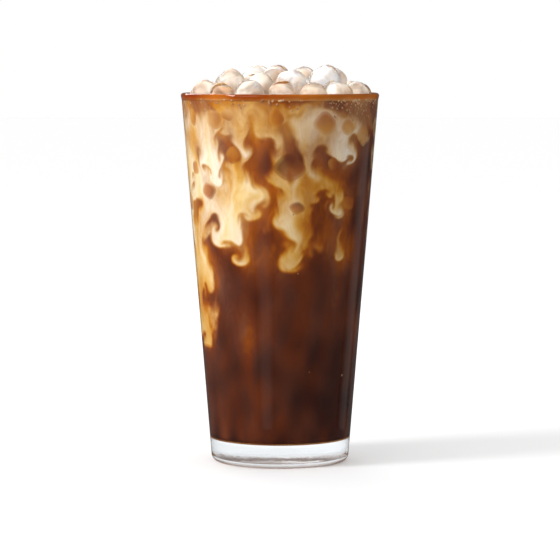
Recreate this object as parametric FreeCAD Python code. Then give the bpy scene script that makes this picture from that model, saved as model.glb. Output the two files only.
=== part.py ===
"""A tall tapered tumbler of iced coffee with cream, heaped with nugget ice.

The drink fills the glass to just below the rim.  Rounded ice nuggets stand in its surface and on each other,
so that the heap rises above the rim.  What lies deeper in the drink isn't modelled here: the drink is one solid.
Millimetres, +Z up, origin at the centre of the foot, on the surface that the glass stands on.
"""

import FreeCAD
import Part

import math
import os
import random

from FreeCAD import Placement, Rotation, Vector

# ---- Glass ----
HEIGHT = 165.3  # table to the top of the rim
RIM_DIAMETER = 89.0  # across the outside of the rim
FOOT_DIAMETER = 61.4  # where the straight outer taper would meet the table
WALL = 2.2  # side wall, measured level
BASE_THICKNESS = 10.6  # clear glass under the drink
HEEL_RADIUS = 3.0  # rounded edge between the side and the foot
FLOOR_CORNER_RADIUS = 4.0  # rounded edge between the inner floor and the wall
RIM_BEAD = 0.25  # how far the fire-polished rim stands out from the taper
RIM_BEAD_HEIGHT = 3.2  # height over which the bead fades into the taper
FOOT_RING_WIDTH = 3.4  # flat ring that the glass stands on
PUNT_DEPTH = 0.9  # hollow under the foot, at its centre

# ---- Drink ----
LEVEL_BELOW_RIM = 2.0
MENISCUS = 0.9  # how far the drink climbs the wall, and how wide that curve is

# ---- Ice nuggets ----
NUGGET_SIZE = 11.9  # usual side of a nugget
NUGGET_SPREAD = 0.1  # share by which a nugget's sides differ from that
NUGGET_ROUNDING = 0.4  # edge radius as a share of the nugget's shortest side
RING_NUGGETS = 15  # standing round the wall
BED_NUGGETS = (9, 3)  # afloat inside that ring in two circles, under the heap
HEAP_NUGGETS = 13  # lying on the others
RING_RISE = 5.0  # usual top of the ring's nuggets above the rim
BED_RISE = -0.8  # usual top of the bed's nuggets above the rim
RISE_SPREAD = 0.8  # how unevenly both stand
WALL_GAP = 0.3  # room left between a nugget and the glass
NUGGET_GAP = 0.1  # room left between two nuggets
CIRCLE_GAP = 0.25  # room between the ring and the bed's circles, as a share of a nugget
SEED = 7

POUR_ROUNDS = 400  # rounds of sinking, pushing apart and holding in the glass
POUR_STEP = 0.08  # how far a nugget sinks or rises in a round
POUR_HEIGHT = 14.0  # height above the rim that the heap's nuggets fall from
SETTLE_ROUNDS = 20  # moves that bring a nugget down onto the others

# ---- Worked out from the above ----
RIM_RADIUS = RIM_DIAMETER / 2
FOOT_RADIUS = FOOT_DIAMETER / 2
LEVEL = HEIGHT - LEVEL_BELOW_RIM
TAPER = (RIM_RADIUS - RIM_BEAD - FOOT_RADIUS) / HEIGHT  # what the radius gains for each millimetre up
LEAN = math.atan(TAPER)  # angle of the wall from upright
UPRIGHT = Vector(0, 0, 1)


# ---- Glass and drink ----
def outer_radius(z):
    """Outside of the straight taper at a height."""
    return FOOT_RADIUS + TAPER * z


def inner_radius(z):
    """Inside of the wall at a height."""
    return outer_radius(z) - WALL


def at(radius, z):
    """A point of an outline, in the XZ plane."""
    return Vector(radius, 0, z)


def line(a, b):
    return Part.LineSegment(a, b).toShape()


def arc(a, middle, b):
    return Part.Arc(a, middle, b).toShape()


def revolve(edges):
    """Turns a closed outline about the Z axis into a solid."""
    return Part.Face(Part.Wire(edges)).revolve(Vector(0, 0, 0), UPRIGHT, 360)


def round_between(level, radius_at, radius):
    """Start, middle and end of the round that joins a level line, at that height, to the leaning wall."""
    z = level + radius
    centre = at(radius_at(z) - radius / math.cos(LEAN), z)
    angles = (-math.pi / 2, (-math.pi / 2 - LEAN) / 2, -LEAN)
    return [centre + at(radius * math.cos(a), radius * math.sin(a)) for a in angles]


def make_glass():
    """The tumbler: a thick foot, hollowed underneath, a straight leaning wall and a rounded rim."""
    heel = round_between(0, outer_radius, HEEL_RADIUS)
    floor = round_between(BASE_THICKNESS, inner_radius, FLOOR_CORNER_RADIUS)
    ring_inner = at(heel[0].x - FOOT_RING_WIDTH, 0)
    punt_top = at(0, PUNT_DEPTH)
    punt_radius = (ring_inner.x**2 + PUNT_DEPTH**2) / (2 * PUNT_DEPTH)
    half = math.asin(ring_inner.x / punt_radius) / 2
    punt_middle = at(punt_radius * math.sin(half), PUNT_DEPTH - punt_radius * (1 - math.cos(half)))

    rim_half = (WALL + RIM_BEAD) / 2
    rim_z = HEIGHT - rim_half
    rim_inner = at(inner_radius(rim_z), rim_z)
    rim_outer = rim_inner + at(2 * rim_half, 0)
    rim_top = rim_inner + at(rim_half, rim_half)
    bead_foot = at(outer_radius(HEIGHT - RIM_BEAD_HEIGHT), HEIGHT - RIM_BEAD_HEIGHT)
    floor_centre = at(0, BASE_THICKNESS)
    return revolve(
        [
            arc(punt_top, punt_middle, ring_inner),
            line(ring_inner, heel[0]),
            arc(*heel),
            line(heel[2], bead_foot),
            line(bead_foot, rim_outer),
            arc(rim_outer, rim_top, rim_inner),
            line(rim_inner, floor[2]),
            arc(*reversed(floor)),
            line(floor[0], floor_centre),
            line(floor_centre, punt_top),
        ]
    )


def make_drink(ice):
    """The drink up to its level, climbing the wall a little, and cut round the nuggets that stand in it."""
    floor = round_between(BASE_THICKNESS, inner_radius, FLOOR_CORNER_RADIUS)
    floor_centre = at(0, BASE_THICKNESS)
    climb = at(inner_radius(LEVEL + MENISCUS), LEVEL + MENISCUS)
    sag = MENISCUS * (1 - math.sqrt(0.5))
    drink = revolve(
        [
            line(floor_centre, floor[0]),
            arc(*floor),
            line(floor[2], climb),
            arc(climb, at(climb.x - sag, LEVEL + sag), at(climb.x - MENISCUS, LEVEL)),
            line(at(climb.x - MENISCUS, LEVEL), at(0, LEVEL)),
            line(at(0, LEVEL), floor_centre),
        ]
    )
    dipping = [n.shape() for n in ice if n.centre.z - n.reach < LEVEL + MENISCUS]
    return drink.cut(dipping)


# ---- Ice ----
def stub_prism(radius, height, sides=5):
    """A prism on a regular polygon whose sides touch a circle of that radius."""
    corners = [
        Vector(radius / math.cos(math.pi / sides) * math.cos(a), radius / math.cos(math.pi / sides) * math.sin(a), 0)
        for a in (2 * math.pi * k / sides for k in range(sides))
    ]
    return Part.Face(Part.makePolygon(corners + corners[:1])).extrude(UPRIGHT * height)


class Nugget:
    """A rounded lump of ice: a pillow, a barrel or a five-sided stub, turned any way up."""

    def __init__(self, rng):
        length, width, height = (NUGGET_SIZE * (1 + NUGGET_SPREAD * rng.uniform(-1, 1)) for _ in range(3))
        kind = rng.choice(("pillow", "barrel", "stub"))
        rounding = NUGGET_ROUNDING * min(length, width, height)
        if kind == "pillow":
            block = Part.makeBox(length, width, height, Vector(-length / 2, -width / 2, 0))
        elif kind == "barrel":
            block = Part.makeCylinder(length / 2, height)
        else:
            block = stub_prism(length / 2, height)
        edges = [e for e in block.Edges if len(block.ancestorsOfType(e, Part.Face)) == 2]
        self.form = block.makeFillet(rounding, edges)
        self.form.translate(Vector(0, 0, -height / 2))
        self.turn = Rotation(Vector(*(rng.uniform(-1, 1) for _ in range(3))), rng.uniform(0, 360))
        self.centre = Vector(0, 0, 0)
        # the ball about the centre that holds the nugget
        corner = {
            "pillow": math.hypot(length / 2 - rounding, width / 2 - rounding),
            "barrel": length / 2 - rounding,
            "stub": (length / 2 - rounding) / math.cos(math.pi / 5),
        }[kind]
        self.reach = math.hypot(corner, height / 2 - rounding) + rounding

    def shape(self):
        placed = self.form.copy()
        placed.Placement = Placement(self.centre, self.turn).multiply(self.form.Placement)
        return placed

    def top(self):
        return self.shape().BoundBox.ZMax


def in_plan(vector):
    return math.hypot(vector.x, vector.y)


def room(z):
    """Radius that nuggets may fill at a height.  Above the drink it grows no more, so that none overhangs the rim."""
    return inner_radius(min(z, LEVEL)) - WALL_GAP


def stand_in_circle(nuggets, radius, rise, rng):
    """Sets nuggets round a circle, their tops about that far above the rim."""
    first = rng.uniform(0, 360)
    for k, nugget in enumerate(nuggets):
        angle = math.radians(first + 360 * (k + 0.1 * rng.uniform(-1, 1)) / len(nuggets))
        top = HEIGHT + rise + RISE_SPREAD * rng.uniform(-1, 1)
        nugget.centre = Vector(radius * math.cos(angle), radius * math.sin(angle), top - nugget.top())


def hang_in_spiral(nuggets, radius):
    """Hangs nuggets over a disc, evenly along a spiral, at the height that they fall from."""
    for k, nugget in enumerate(nuggets):
        angle = math.pi * (3 - math.sqrt(5)) * k
        out = radius * math.sqrt((k + 0.5) / len(nuggets))
        top = HEIGHT + POUR_HEIGHT
        nugget.centre = Vector(out * math.cos(angle), out * math.sin(angle), top - nugget.top())


def push_apart(a, b, share):
    """Parts two nuggets whose balls overlap: the first gives way by that share of it, the second by the rest."""
    between = b.centre - a.centre
    short = a.reach + b.reach + NUGGET_GAP - between.Length
    if short > 0:
        push = between * (short / between.Length)
        a.centre -= push * share
        b.centre += push * (1 - share)


def pour(nuggets, heights, still):
    """Brings nuggets to their heights as far as there's room for their balls, round others that keep still."""
    for _ in range(POUR_ROUNDS):
        for nugget, height in zip(nuggets, heights):
            nugget.centre.z += max(-POUR_STEP, min(height - nugget.centre.z, POUR_STEP))
        for i, nugget in enumerate(nuggets):
            for other in nuggets[i + 1 :]:
                push_apart(nugget, other, 0.5)
            for other in still:
                push_apart(nugget, other, 1)
        for nugget in nuggets:
            out = max(1, in_plan(nugget.centre) / (room(nugget.centre.z) - nugget.reach))
            nugget.centre = Vector(nugget.centre.x / out, nugget.centre.y / out, nugget.centre.z)


def settle(nugget, others):
    """Lowers a nugget straight down until its own surface meets another's."""
    shapes = [o.shape() for o in others if in_plan(o.centre - nugget.centre) < o.reach + nugget.reach]
    for _ in range(SETTLE_ROUNDS):
        own = nugget.shape()
        free = min(own.distToShape(s)[0] for s in shapes) - NUGGET_GAP
        if free < NUGGET_GAP:
            break
        nugget.centre.z -= free


def make_ice():
    """Every nugget of the heap, keyed by its node's name."""
    rng = random.Random(SEED)
    wall = room(LEVEL)
    ring = [Nugget(rng) for _ in range(RING_NUGGETS)]
    stand_in_circle(ring, wall - NUGGET_SIZE / 2, RING_RISE, rng)
    bed = []
    for k, count in enumerate(BED_NUGGETS):
        circle = [Nugget(rng) for _ in range(count)]
        stand_in_circle(circle, wall - NUGGET_SIZE * (k + 1.5 + CIRCLE_GAP), BED_RISE, rng)
        bed += circle
    pour(ring + bed, [n.centre.z for n in ring + bed], [])
    heap = [Nugget(rng) for _ in range(HEAP_NUGGETS)]
    hang_in_spiral(heap, wall - NUGGET_SIZE)
    pour(heap, [LEVEL] * len(heap), ring + bed)
    for nugget in sorted(heap, key=lambda n: n.centre.z):
        settle(nugget, [o for o in ring + bed + heap if o is not nugget])
    groups = {"ring": ring, "bed": bed, "heap": heap}
    return {
        f"ice_{group}_{k + 1:02d}": nugget for group, nuggets in groups.items() for k, nugget in enumerate(nuggets)
    }


def main():
    os.makedirs("parts", exist_ok=True)
    ice = make_ice()
    solids = {"glass": make_glass(), "coffee": make_drink(ice.values())}
    solids |= {name: nugget.shape() for name, nugget in ice.items()}
    for name, solid in solids.items():
        if not solid.isValid() or len(solid.Solids) != 1:
            raise RuntimeError(f"{name} isn't one sound solid")
        solid.exportStep(os.path.join("parts", f"{name}.step"))
    print("glass", round(solids["glass"].Volume / 1000, 2), "cm3")
    print("coffee", round(solids["coffee"].Volume / 1000, 2), "cm3")
    print("ice", round(sum(n.shape().Volume for n in ice.values()) / 1000, 2), "cm3 in", len(ice), "nuggets")
    print("the heap stands", round(max(n.top() for n in ice.values()) - HEIGHT, 1), "mm above the rim")


if __name__ == "__main__":
    main()
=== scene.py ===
"""Looks of a tumbler of iced coffee with cream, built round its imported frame.

The frame gives the glass, the drink and the nuggets of ice that stand in its surface.  Here each of them gets a
finer mesh and its finish: clear glass, coffee marbled by sinking cream, and milky, melting ice.
Everything is in metres, +Z up, with the origin under the middle of the foot.
"""

import functools
import math
import random

import bpy
import numpy as np
from bpy.props import FloatProperty, FloatVectorProperty, IntProperty, PointerProperty
from mathutils import Matrix, Vector, noise


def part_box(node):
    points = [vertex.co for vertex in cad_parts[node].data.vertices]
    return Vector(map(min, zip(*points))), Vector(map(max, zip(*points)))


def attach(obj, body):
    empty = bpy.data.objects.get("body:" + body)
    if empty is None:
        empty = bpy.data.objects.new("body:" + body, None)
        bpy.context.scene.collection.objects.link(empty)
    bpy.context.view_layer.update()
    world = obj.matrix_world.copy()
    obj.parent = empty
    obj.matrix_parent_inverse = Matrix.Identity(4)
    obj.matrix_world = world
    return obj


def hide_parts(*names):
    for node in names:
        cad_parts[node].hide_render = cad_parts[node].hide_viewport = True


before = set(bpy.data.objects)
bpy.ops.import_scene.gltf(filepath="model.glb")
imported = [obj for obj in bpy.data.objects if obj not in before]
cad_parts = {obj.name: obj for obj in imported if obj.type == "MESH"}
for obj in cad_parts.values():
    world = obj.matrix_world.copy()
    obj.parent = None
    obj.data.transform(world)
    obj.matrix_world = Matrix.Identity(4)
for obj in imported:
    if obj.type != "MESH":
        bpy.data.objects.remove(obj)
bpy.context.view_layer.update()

bl_info = {
    "name": "Iced coffee",
    "version": (1, 0, 0),
    "blender": (4, 5, 0),
    "location": "3D View > Sidebar > Iced coffee",
    "description": "Builds a tumbler of iced coffee with cream and nugget ice round its frame",
    "category": "Add Mesh",
}

MM = 0.001
GLASS_IOR = 1.5
ICE_IOR = 1.2  # below the 1.31 of real ice, so that the cloudy core shows well through the shell
GLASS_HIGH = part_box("glass")[1]
DRINK_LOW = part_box("coffee")[0]
ICE_NODES = sorted(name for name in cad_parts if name.startswith("ice_"))
FRONT = -math.pi / 2  # the side of the glass that faces -Y, as an angle about Z


# ---- Sizes and colours ----
def length(name, description, default):
    """A size in metres."""
    return FloatProperty(name=name, description=description, default=default, min=0, unit="LENGTH", precision=5)


def turn_angle(name, description, degrees):
    """An angle, given in degrees."""
    return FloatProperty(name=name, description=description, default=math.radians(degrees), subtype="ANGLE")


def share(name, description, default, top=1.0):
    """A factor from nothing to the top."""
    return FloatProperty(name=name, description=description, default=default, min=0, max=top, subtype="FACTOR")


def colour(name, description, default):
    """A colour that the user may pick."""
    return FloatVectorProperty(name=name, description=description, default=default, min=0, max=1, subtype="COLOR")


def tone(red, green, blue):
    """A colour from its everyday 0 to 255 values."""
    return tuple(c / 255 / 12.92 if c <= 10 else ((c / 255 + 0.055) / 1.055) ** 2.4 for c in (red, green, blue))


class GlassSettings(bpy.types.PropertyGroup):
    """Sizes and tint of the tumbler."""

    height: length("Height", "Table to the top of the rim", GLASS_HIGH.z)
    rim_radius: length("Rim radius", "Outside of the rim", GLASS_HIGH.x)
    foot_radius: length("Foot radius", "Where the outer taper would meet the table", 30.7 * MM)
    wall: length("Wall", "Thickness of the side", 2.2 * MM)
    floor: length("Foot thickness", "Clear glass under the drink", DRINK_LOW.z)
    heel: length("Heel radius", "Round between the side and the foot", 3.0 * MM)
    corner: length("Inner corner radius", "Round between the inner floor and the wall", 4.0 * MM)
    bead: length("Rim bead", "How far the rim stands out from the taper", 0.25 * MM)
    bead_height: length("Rim bead height", "Height over which the bead fades out", 3.2 * MM)
    foot_ring: length("Foot ring", "Width of the flat ring that the glass stands on", 3.4 * MM)
    punt: length("Punt", "Hollow under the foot", 0.9 * MM)
    ripple: length("Ripple", "Unevenness of the pressed glass", 0.03 * MM)
    tint: colour("Tint", "Colour of the clear glass", (0.975, 0.985, 0.99))
    foot_tint: colour("Foot tint", "Colour of the thick glass in the foot", (0.86, 0.895, 0.925))


class DrinkSettings(bpy.types.PropertyGroup):
    """Level, marbling and colours of the coffee."""

    below_rim: length("Below the rim", "Height of the rim above the drink", 2.0 * MM)
    meniscus: length("Meniscus", "How far the drink climbs the wall", 0.9 * MM)
    lap: length("Lap", "How far the drink reaches into the wall, so that no gap shows", 0.25 * MM)
    seed: IntProperty(name="Seed", description="Changes the marbling", default=5)
    sinking: IntProperty(name="Sinking", description="Steps for which the cream sinks", default=24, min=1)
    coffee: colour("Coffee", "Clear black coffee", tone(68, 29, 17))
    russet: colour("Russet", "Clear coffee with a trace of cream", tone(112, 52, 22))
    amber: colour("Amber", "Clear coffee with a little cream", tone(168, 88, 22))
    gold: colour("Gold", "Clear coffee and cream half and half", tone(200, 134, 42))
    straw: colour("Straw", "Thin cream with some coffee", tone(220, 170, 84))
    yellow: colour("Yellow cream", "Thin cream", tone(240, 213, 150))
    murk: colour("Murk", "Cloudy black coffee", tone(54, 30, 24))
    umber: colour("Umber", "Cloudy coffee with a trace of cream", tone(96, 54, 40))
    tan: colour("Tan", "Cloudy coffee with a little cream", tone(138, 88, 62))
    fawn: colour("Fawn", "Cloudy coffee and cream half and half", tone(174, 126, 84))
    beige: colour("Beige", "Thick cream with some coffee", tone(208, 172, 130))
    white: colour("White cream", "Thick cream", tone(247, 236, 218))


class IceSettings(bpy.types.PropertyGroup):
    """Make and colours of the nuggets."""

    seed: IntProperty(name="Seed", description="Changes the melted shapes", default=3)
    grain: length("Grain", "Mesh size of a nugget at the surface", 0.42 * MM)
    melt: length("Melt", "How deep melting has worn a nugget", 0.9 * MM)
    core: share("Core", "Size of the cloudy core of a nugget", 0.86)
    clear: colour("Clear ice", "The shell of a nugget", (0.97, 0.96, 0.95))
    frosty: colour("Frosty ice", "The whitest part of a core", tone(238, 239, 241))
    cloud: colour("Cloudy ice", "The core of a nugget", tone(241, 229, 215))
    stained: colour("Stained ice", "Ice that has taken up coffee", tone(208, 168, 132))


class StageSettings(bpy.types.PropertyGroup):
    """Camera, lamps and floor."""

    distance: length("Camera distance", "Camera to the middle of the glass, level", 1.2)
    camera_height: length("Camera height", "Height of the camera above the table", 0.185)
    aim_height: length("Aim height", "Height of the point that the camera looks at", 0.0813)
    lens: FloatProperty(name="Lens", description="Focal length in millimetres", default=172.2, min=1)
    sky: share("Sky", "Light from all round", 0.88, 4)
    mirrored: share("Mirrored room", "How bright the room is in the glass", 0.10, 4)
    sun: FloatProperty(name="Sun", description="Strength of the light that gives the shadow", default=1.55, min=0)
    sun_height: turn_angle("Sun height", "Above the table", 40)
    sun_turn: turn_angle("Sun turn", "From the left", 22)
    key: FloatProperty(name="Key", description="Power of the large lamp on the left", default=2.3, min=0, unit="POWER")
    rim: FloatProperty(name="Rim", description="Power of the lamp behind", default=2.0, min=0, unit="POWER")
    shadow: share("Shadow", "How much of the shadow the floor shows", 0.8)


# ---- Mesh tools ----
def settings():
    """The sizes and colours that the panel shows."""
    return bpy.context.scene.iced_coffee


def drink_level():
    """Height of the drink's surface above the table."""
    return settings().glass.height - settings().drink.below_rim


def finish_piece(obj, nodes=()):
    """Ties a finished piece to the frame."""
    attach(obj, "root")
    if nodes:
        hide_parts(*nodes)


def mesh_object(name, points, faces, materials, face_material=None):
    """A smooth mesh object from points and faces."""
    mesh = bpy.data.meshes.new(name)
    mesh.from_pydata([tuple(p) for p in points], [], [tuple(f) for f in faces])
    for finish in materials:
        mesh.materials.append(finish)
    if face_material is not None:
        mesh.polygons.foreach_set("material_index", np.asarray(face_material, np.int32))
    mesh.polygons.foreach_set("use_smooth", np.ones(len(mesh.polygons), bool))
    mesh.validate()
    mesh.update()
    obj = bpy.data.objects.new(name, mesh)
    bpy.context.scene.collection.objects.link(obj)
    return obj


def store(obj, **layers):
    """Keeps named numbers for each vertex, for the material to read."""
    for name, values in layers.items():
        layer = obj.data.attributes.new(name, "FLOAT", "POINT")
        layer.data.foreach_set("value", np.asarray(values, np.float32))


def grid_faces(rows, columns, first=0):
    """Faces of a grid of points that closes on itself round its columns."""
    j, i = np.meshgrid(np.arange(rows - 1), np.arange(columns), indexing="ij")
    nxt = (i + 1) % columns
    corners = (j * columns + i, j * columns + nxt, (j + 1) * columns + nxt, (j + 1) * columns + i)
    return (np.stack([c.ravel() for c in corners], axis=1) + first).tolist()


def closed_faces(rows, columns, first):
    """Faces of a lump whose rows of points run from one end to the other, with a cap on each end."""
    low = [first + k for k in range(columns)]
    high = [k + (rows - 1) * columns for k in low]
    return [*grid_faces(rows, columns, first), low[::-1], high]


def ball_ways(rows, columns):
    """Directions from the middle of a ball to its points, row by row from the lowest."""
    ways = []
    for row in range(rows):
        tilt = math.pi * (row + 0.5) / rows
        for k in range(columns):
            a = 2 * math.pi * k / columns
            ways.append(Vector((math.sin(tilt) * math.cos(a), math.sin(tilt) * math.sin(a), -math.cos(tilt))))
    return ways


def turned(outline, columns):
    """Points of a lathed surface: one row for each radius and height of its outline."""
    angles = 2 * math.pi * np.arange(columns) / columns
    radii, heights = (np.array(side)[:, None] for side in zip(*outline))
    x = radii * np.cos(angles)
    y = radii * np.sin(angles)
    return np.stack([x, y, np.broadcast_to(heights, x.shape)], axis=-1).reshape(-1, 3)


def lathe_faces(rows, columns):
    """Faces of a lathed solid whose first and last rows close to a single fan each."""
    faces = grid_faces(rows, columns)
    low, high = rows * columns, rows * columns + 1
    last = (rows - 1) * columns
    for i in range(columns):
        nxt = (i + 1) % columns
        faces.append((low, nxt, i))
        faces.append((high, last + i, last + nxt))
    return faces


def round_points(centre_r, centre_z, radius, start, end, count):
    """Radii and heights of points round an arc, both ends included."""
    angles = np.linspace(start, end, count)
    return [(centre_r + radius * math.cos(a), centre_z + radius * math.sin(a)) for a in angles]


# ---- The shape of the glass ----
class Tumbler:
    """The tumbler's outline, worked out from its settings."""

    def __init__(self, glass):
        self.glass = glass
        self.taper = (glass.rim_radius - glass.bead - glass.foot_radius) / glass.height
        self.lean = math.atan(self.taper)

    def outside(self, z):
        """Outer radius of the side at a height."""
        return self.glass.foot_radius + self.taper * z

    def inside(self, z):
        """Inner radius of the side at a height."""
        return self.outside(z) - self.glass.wall

    def corner(self, level, radius, radius_at, count=10):
        """Points of the round that joins a level line to the leaning wall, from the line up."""
        z = level + radius
        centre = radius_at(z) - radius / math.cos(self.lean)
        return round_points(centre, z, radius, -math.pi / 2, -self.lean, count)

    def outline(self):
        """Radii and heights from under the middle of the foot, round the rim, to the middle of the inner floor."""
        g = self.glass
        heel = self.corner(0, g.heel, self.outside)
        floor = self.corner(g.floor, g.corner, self.inside)
        ring = heel[0][0] - g.foot_ring
        under = [(ring * s, g.punt * (1 - s * s)) for s in np.linspace(0.04, 1, 14)]
        half = (g.wall + g.bead) / 2
        rim_z = g.height - half
        rim_r = self.inside(rim_z) + half
        rim = round_points(rim_r, rim_z, half, 0, math.pi, 15)
        low, high = heel[-1][1], g.height - g.bead_height
        outside = [(self.outside(z), z) for z in np.linspace(low, high, 70)[1:]]
        inside = [(self.inside(z), z) for z in np.linspace(rim_z, floor[-1][1], 72)[1:-1]]
        across = [(floor[0][0] * s, g.floor) for s in np.linspace(0.97, 0.04, 18)]
        return under + heel + outside + rim + inside + floor[::-1] + across


# ---- Cream sinking through the coffee ----
class CreamFlow:
    """Heavy cream that sinks through coffee beside the wall, worked out on a grid unrolled from the wall.

    Rows go up and columns go round, in units of the drink's depth.  The eddies are carried by the flow that they
    make, the cream's weight feeds them, and sunk nuggets hold the flow back.
    """

    COLUMNS = 512
    ROWS = 336
    WEIGHT = 10.0  # pull on pure cream
    DRAG = 30.0  # how firmly a nugget holds the flow
    SMOOTHING = 1e-5  # how fast the finest eddies die out
    LONGEST_STEP = 0.01
    CELLS_PER_STEP = 2.5  # no point moves further than this in a step

    def __init__(self, girth, seed):
        self.girth = girth
        self.seed = seed
        self.dx = girth / self.COLUMNS
        self.dz = 1 / self.ROWS
        self.x = (np.arange(self.COLUMNS) + 0.5) * self.dx
        self.z = ((np.arange(self.ROWS) + 0.5) * self.dz)[:, None]
        self.kx = 2 * math.pi * np.fft.rfftfreq(self.COLUMNS, self.dx)[None, :]
        self.kz = 2 * math.pi * np.fft.fftfreq(2 * self.ROWS, self.dz)[:, None]
        self.k_squared = self.kx**2 + self.kz**2
        self.k_squared[0, 0] = 1

    def filtered(self, field, gain, sign=1):
        """A field after a gain on its waves.  It is mirrored at the top and the bottom, or reversed there."""
        both = np.vstack([field, sign * field[::-1]])
        return np.fft.irfft2(np.fft.rfft2(both) * gain, s=both.shape)[: self.ROWS]

    def blurred(self, field, wide, tall):
        """A field smoothed over that width and height."""
        return self.filtered(field, np.exp(-0.5 * ((self.kx * wide) ** 2 + (self.kz * tall) ** 2)))

    def cloud(self, wide, tall, number):
        """Smooth random unevenness of that size, with a spread of one."""
        draw = np.random.default_rng(self.seed + number).standard_normal((self.ROWS, self.COLUMNS))
        cloud = self.blurred(draw, wide, tall)
        return cloud / cloud.std()

    def away(self, angle):
        """How far round the wall each column is from an angle, measured from the front, in turns."""
        offset = self.x - angle * self.girth
        return (offset + self.girth / 2) % self.girth - self.girth / 2

    def at(self, field, columns, rows):
        """A field between its grid points, in a straight line from point to point."""
        i = np.floor(columns).astype(np.int32)
        j = np.floor(rows).astype(np.int32)
        u, v = columns - i, rows - j
        left, right = i % self.COLUMNS, (i + 1) % self.COLUMNS
        low = np.clip(j, 0, self.ROWS - 1) * self.COLUMNS
        high = np.clip(j + 1, 0, self.ROWS - 1) * self.COLUMNS
        flat = field.ravel()
        under = flat[low + left] * (1 - u) + flat[low + right] * u
        over = flat[high + left] * (1 - u) + flat[high + right] * u
        return under * (1 - v) + over * v

    def sharp_at(self, field, columns, rows):
        """A field between its grid points, on a cubic curve that never passes the four nearest points."""
        i = np.floor(columns).astype(np.int32)
        j = np.floor(rows).astype(np.int32)
        across, along = self.cubic(columns - i), self.cubic(rows - j)
        flat = field.ravel()
        lowest, highest, total = np.inf, -np.inf, 0
        for n, row_weight in enumerate(along):
            row = np.clip(j + n - 1, 0, self.ROWS - 1) * self.COLUMNS
            line = 0
            for m, weight in enumerate(across):
                value = flat[row + (i + m - 1) % self.COLUMNS]
                line = line + weight * value
                if n in (1, 2) and m in (1, 2):
                    lowest, highest = np.minimum(lowest, value), np.maximum(highest, value)
            total = total + row_weight * line
        return np.clip(total, lowest, highest)

    @staticmethod
    def cubic(t):
        """Weights of four neighbouring points for a place that share of the way from the second to the third."""
        return (
            -0.5 * t + t * t - 0.5 * t**3,
            1 - 2.5 * t * t + 1.5 * t**3,
            0.5 * t + 2 * t * t - 1.5 * t**3,
            -0.5 * t * t + 0.5 * t**3,
        )

    def nuggets(self, places):
        """1 inside the sunk nuggets and 0 outside, from (angle, height, radius) of each."""
        held = np.zeros((self.ROWS, self.COLUMNS))
        for angle, height, radius in places:
            gap = np.hypot(self.away(angle), self.z - height) - radius
            held = np.maximum(held, 1 / (1 + np.exp(np.clip(gap / 0.004, -30, 30))))
        return held

    def patch(self, angle, height, width, depth):
        """A soft round patch: 1 in its middle and 0 far from it."""
        return np.exp(-((self.away(angle) / width) ** 2) - ((self.z - height) / depth) ** 2)

    def pour(self, pours, gaps):
        """Cream as it lies before it sinks, and its warmth: from white (0) to gold (1).

        A pour is (angle, height, width, depth, strength, warmth), and a gap in the cream (angle, height, width, depth).
        """
        thick = np.zeros((self.ROWS, self.COLUMNS))
        total, warm = np.full_like(thick, 0.02), np.full_like(thick, 0.01)
        for *shape, strength, warmth in pours:
            patch = strength * self.patch(*shape)
            thick = np.maximum(thick, patch)
            total, warm = total + patch**2, warm + warmth * patch**2
        for shape in gaps:
            thick = thick * (1 - self.patch(*shape))
        # ragged patches, coarse and fine, with clear edges
        ragged = 0.6 * self.cloud(0.022, 0.04, 2) + 0.6 * self.cloud(0.010, 0.018, 1)
        ragged = ragged + 0.25 * self.cloud(0.004, 0.009, 4)
        thick = thick + 0.3 * ragged * np.clip(2 * thick, 0, 1)
        edge = np.clip((thick - 0.20) / 0.55, 0, 1)
        # uneven inside, and streaked with gold
        strength = np.clip(0.82 + 0.22 * self.cloud(0.02, 0.03, 6), 0.35, 1)
        warm = warm / total + 0.18 * self.cloud(0.015, 0.05, 7) + 0.12 * self.cloud(0.006, 0.03, 8)
        rich = 1 - 0.42 * np.clip(warm, 0, 1) ** 2  # golden coffee holds less cream
        return edge * edge * (3 - 2 * edge) * strength * rich, warm

    def run(self, pours, gaps, places, steps):
        """The share of cream and its warmth at each grid point after it has sunk for that many steps."""
        cream, warmth = self.pour(pours, gaps)
        held = self.nuggets(places)
        free = 1 - 0.9 * held
        eddies = 0.6 * self.cloud(0.02, 0.02, 3)
        columns, rows = np.meshgrid(np.arange(self.COLUMNS, dtype=float), np.arange(self.ROWS, dtype=float))
        for _ in range(steps):
            u = self.filtered(eddies, 1j * self.kz / self.k_squared, -1) * free
            w = self.filtered(eddies, -1j * self.kx / self.k_squared, -1) * free
            fastest = max(np.abs(u).max(), np.abs(w).max(), 1e-6)
            step = min(self.LONGEST_STEP, self.CELLS_PER_STEP * self.dz / fastest)
            half_i = columns - step * u / self.dx / 2
            half_j = rows - step * w / self.dz / 2
            i = columns - step * self.at(u, half_i, half_j) / self.dx
            j = rows - step * self.at(w, half_i, half_j) / self.dz
            cream, warmth = self.sharp_at(cream, i, j), self.sharp_at(warmth, i, j)
            eddies = self.at(eddies, i, j)
            pull_u, pull_w = -self.DRAG * held * u, -self.DRAG * held * w - self.WEIGHT * cream
            curl = (np.roll(pull_w, -1, 1) - np.roll(pull_w, 1, 1)) / (2 * self.dx)
            eddies = eddies + step * (curl - np.gradient(pull_u, self.dz, axis=0))
            eddies = self.filtered(eddies, np.exp(-self.SMOOTHING * step * self.k_squared), -1)
        return cream, warmth


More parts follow.
